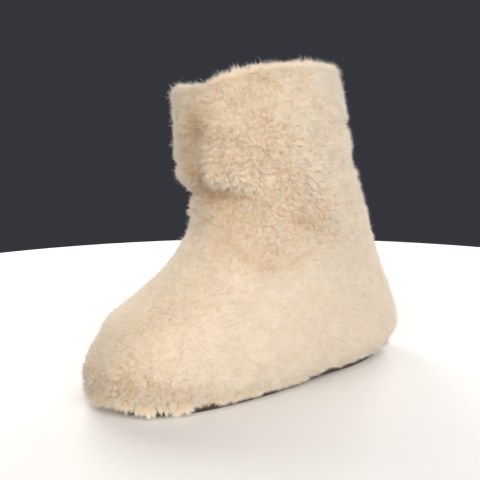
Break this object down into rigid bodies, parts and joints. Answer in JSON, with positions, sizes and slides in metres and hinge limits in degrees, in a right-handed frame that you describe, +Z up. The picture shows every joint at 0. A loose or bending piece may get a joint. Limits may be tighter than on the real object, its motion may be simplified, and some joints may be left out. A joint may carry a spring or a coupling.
{
  "type": "wool slipper",
  "caption": "High slip-on house slipper of cream pile wool with a slack shaft, turned wool collar, wool footbed and thin dark suede sole; left foot.",
  "frame": {"origin": "middle of the box's underside, on the floor that the sole stands on", "axes": "+Z up, toe towards -Y, heel towards +Y, the wearer's left and the slipper's outer side towards +X"},
  "size_m": [0.118, 0.2676, 0.2283],
  "materials": {
    "wool": "matte cream pile wool, curled at the ankle",
    "footbed": "matte short wool pile",
    "suede": "matte dark brown suede"
  },
  "bodies": {
    "root": {"upper": "wool", "insole": "footbed", "outsole": "suede"}
  },
  "joints": []
}
